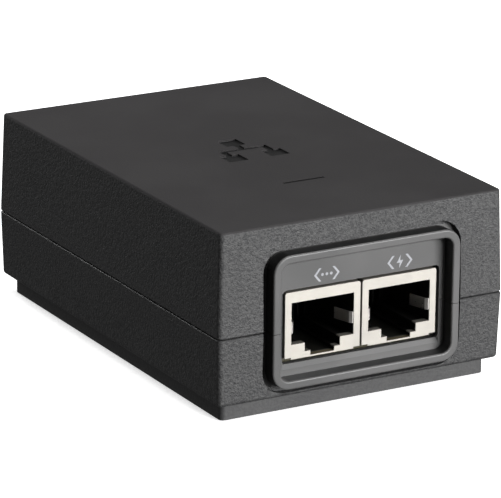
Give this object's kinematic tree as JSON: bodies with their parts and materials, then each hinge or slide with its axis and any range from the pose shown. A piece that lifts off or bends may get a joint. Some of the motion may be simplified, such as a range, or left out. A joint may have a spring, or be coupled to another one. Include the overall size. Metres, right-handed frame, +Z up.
{
  "type": "poe injector",
  "caption": "Black desktop power-over-Ethernet injector brick with shielded network jacks, a mains inlet and a slide-off wall bracket.",
  "frame": {"origin": "bottom centre of the whole object, on the surface that it stands on", "axes": "+X along the width, +Y from the network jacks to the mains inlet, +Z up"},
  "size_m": [0.055, 0.0826, 0.0331],
  "materials": {
    "case_plastic": "black spark-textured moulded plastic",
    "bracket_plastic": "black moulded plastic, finely textured",
    "gloss_inlay": "polished black",
    "light_pipe": "dark tinted polycarbonate",
    "led_package": "moulded white with a clear lens",
    "screw_steel": "zinc-plated",
    "board_laminate": "green solder mask",
    "film": "translucent insulating film",
    "inlet_plastic": "black glass-filled plastic",
    "inlet_metal": "nickel-plated brass",
    "component_plastic": "moulded black epoxy",
    "varistor_coat": "blue epoxy coat",
    "capacitor_box": "yellow moulded box",
    "disc_coat": "blue ceramic coat",
    "ferrite": "dark sintered ferrite",
    "copper_wire": "enamelled copper",
    "capacitor_sleeve": "black shrink sleeve",
    "winding_tape": "yellow polyester tape",
    "heatsink_metal": "extruded, bare",
    "jack_shield_metal": "bright nickel plate",
    "spring_metal": "nickel-plated spring sheet",
    "jack_insulator": "black moulded plastic",
    "contact_gold": "gold-plated wire"
  },
  "bodies": {
    "case": {"upper_case": "case_plastic", "lower_case": "case_plastic", "top_emblem": "gloss_inlay", "led_light_pipe": "light_pipe", "status_led": "led_package", "case_screws": "screw_steel", "main_board": "board_laminate", "insulation_sheet": "film", "inlet_body": "inlet_plastic", "inlet_pins": "inlet_metal", "fuse": "component_plastic", "varistor": "varistor_coat", "x_capacitor": "capacitor_box", "y_capacitor": "disc_coat", "choke_core": "ferrite", "choke_windings": "copper_wire", "bridge_rectifier": "component_plastic", "bulk_capacitor": "capacitor_sleeve", "output_capacitors": "capacitor_sleeve", "output_inductor": "ferrite", "transformer_core": "ferrite", "transformer_bobbin": "component_plastic", "transformer_winding": "winding_tape", "switch_heatsink": "heatsink_metal", "switch_transistor": "component_plastic", "output_heatsink": "heatsink_metal", "output_diode": "component_plastic", "optocoupler": "component_plastic", "controller_chip": "component_plastic", "lan_magnetics": "component_plastic", "lan_jack_shield": "jack_shield_metal", "lan_jack_housing": "jack_insulator", "lan_contact_block": "jack_insulator", "poe_jack_shield": "jack_shield_metal", "poe_jack_housing": "jack_insulator", "poe_contact_block": "jack_insulator"},
    "wall_bracket": {"wall_bracket": "bracket_plastic"},
    "lan_contacts": {"lan_contact_wires": "contact_gold"},
    "lan_spring_left": {"lan_ground_spring_left": "spring_metal"},
    "lan_spring_right": {"lan_ground_spring_right": "spring_metal"},
    "poe_contacts": {"poe_contact_wires": "contact_gold"},
    "poe_spring_left": {"poe_ground_spring_left": "spring_metal"},
    "poe_spring_right": {"poe_ground_spring_right": "spring_metal"}
  },
  "joints": [
    {"name": "bracket_slide", "type": "slide", "parent": "case", "child": "wall_bracket", "axis": [0, 1, 0], "range_m": [0, 0.008]},
    {"name": "lan_contact_flex", "type": "hinge", "parent": "case", "child": "lan_contacts", "pos_m": [-0.0074, -0.03606, 0.01895], "axis": [1, 0, 0], "range_deg": [0, 12], "stiffness_Nm_per_rad": 0.02},
    {"name": "lan_spring_flex_left", "type": "hinge", "parent": "case", "child": "lan_spring_left", "pos_m": [-0.01334, -0.039, 0.01475], "axis": [0, 0, 1], "range_deg": [0, 19], "stiffness_Nm_per_rad": 0.01},
    {"name": "lan_spring_flex_right", "type": "hinge", "parent": "case", "child": "lan_spring_right", "pos_m": [-0.00146, -0.039, 0.01475], "axis": [0, 0, -1], "range_deg": [0, 19], "stiffness_Nm_per_rad": 0.01},
    {"name": "poe_contact_flex", "type": "hinge", "parent": "case", "child": "poe_contacts", "pos_m": [0.0074, -0.03606, 0.01895], "axis": [1, 0, 0], "range_deg": [0, 12], "stiffness_Nm_per_rad": 0.02},
    {"name": "poe_spring_flex_left", "type": "hinge", "parent": "case", "child": "poe_spring_left", "pos_m": [0.00146, -0.039, 0.01475], "axis": [0, 0, 1], "range_deg": [0, 19], "stiffness_Nm_per_rad": 0.01},
    {"name": "poe_spring_flex_right", "type": "hinge", "parent": "case", "child": "poe_spring_right", "pos_m": [0.01334, -0.039, 0.01475], "axis": [0, 0, -1], "range_deg": [0, 19], "stiffness_Nm_per_rad": 0.01}
  ]
}
